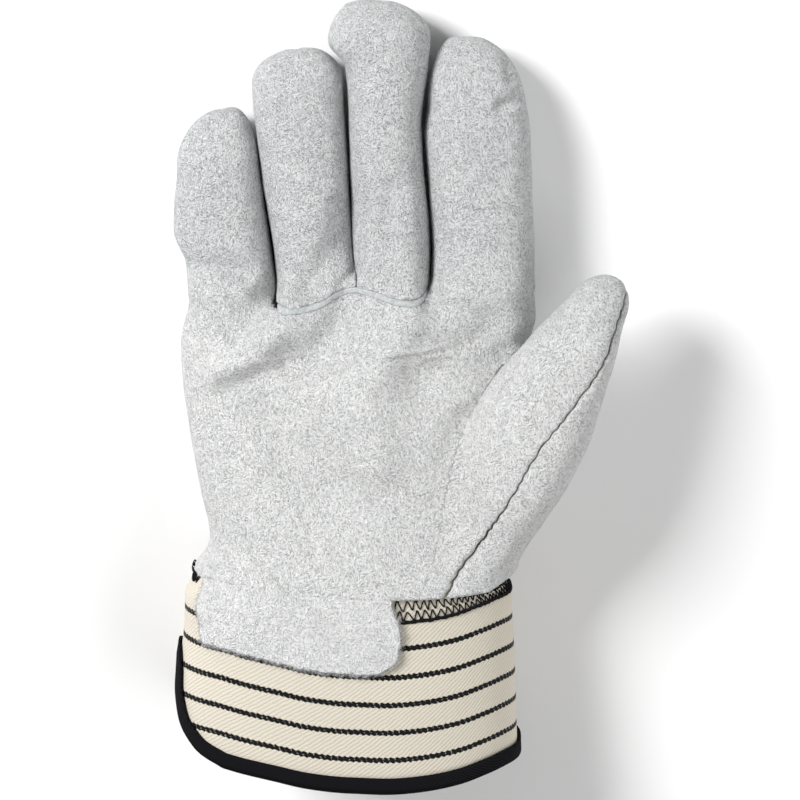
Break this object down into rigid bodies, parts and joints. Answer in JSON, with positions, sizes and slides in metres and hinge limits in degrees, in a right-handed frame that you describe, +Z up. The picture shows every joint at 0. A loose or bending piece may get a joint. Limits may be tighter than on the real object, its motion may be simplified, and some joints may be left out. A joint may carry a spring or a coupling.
{
  "type": "rigger glove",
  "caption": "Right-hand split-leather rigger glove with a wing thumb, a leather patch over the pulse and a striped canvas safety cuff bound with tape, lying palm up.",
  "frame": {"origin": "middle of the glove's footprint on the table, at the height of the table", "axes": "+X towards the thumb side, +Y from the cuff to the fingertips, +Z up out of the palm"},
  "size_m": [0.1514, 0.2574, 0.0629],
  "materials": {
    "suede": "pale grey split leather, brushed nap",
    "drill": "natural cotton drill with black woven stripes",
    "tape": "black woven binding tape and thread"
  },
  "bodies": {
    "root": {"palm_panel": "suede", "ring_finger_front": "suede", "middle_finger_front": "suede", "base_welt": "suede", "back_panel": "suede", "thumb_front": "suede", "thumb_back": "suede", "cuff_patch": "suede", "cuff_canvas": "drill", "cuff_binding": "tape"}
  },
  "joints": []
}
